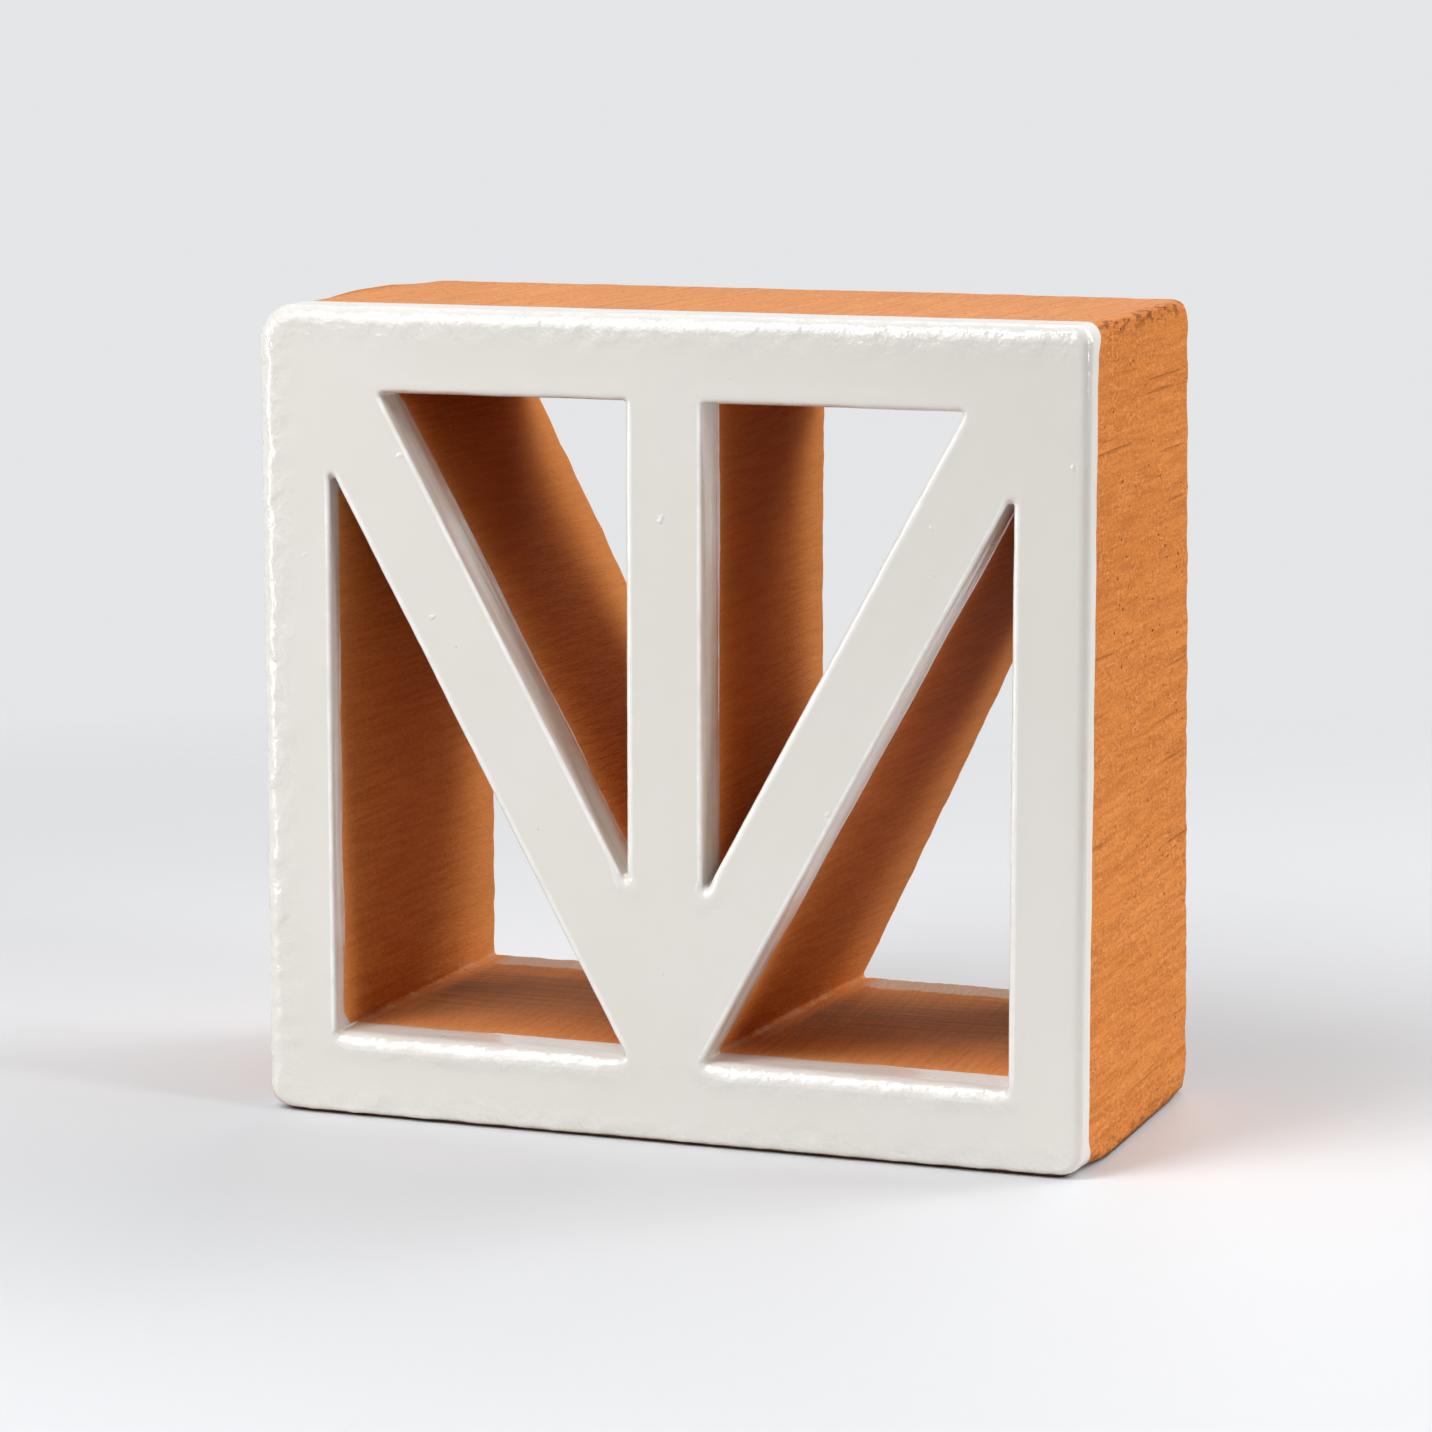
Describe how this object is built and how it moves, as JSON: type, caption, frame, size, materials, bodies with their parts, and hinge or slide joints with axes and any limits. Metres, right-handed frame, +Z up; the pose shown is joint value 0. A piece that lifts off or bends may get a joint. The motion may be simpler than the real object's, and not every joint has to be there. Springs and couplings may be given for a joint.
{
  "type": "decorative screen block",
  "caption": "Fired clay screen block, a frame with an upright bar and slanting braces between triangular through openings, white glaze on its front face, for open walls.",
  "frame": {"origin": "middle of the underside, halfway between the front and back faces", "axes": "+X along the block, +Y from the glazed front face to the back, +Z up"},
  "size_m": [0.2, 0.095, 0.19],
  "materials": {
    "terracotta": "matte",
    "white_glaze": "gloss"
  },
  "bodies": {
    "root": {"screen_block": "terracotta"}
  },
  "joints": []
}
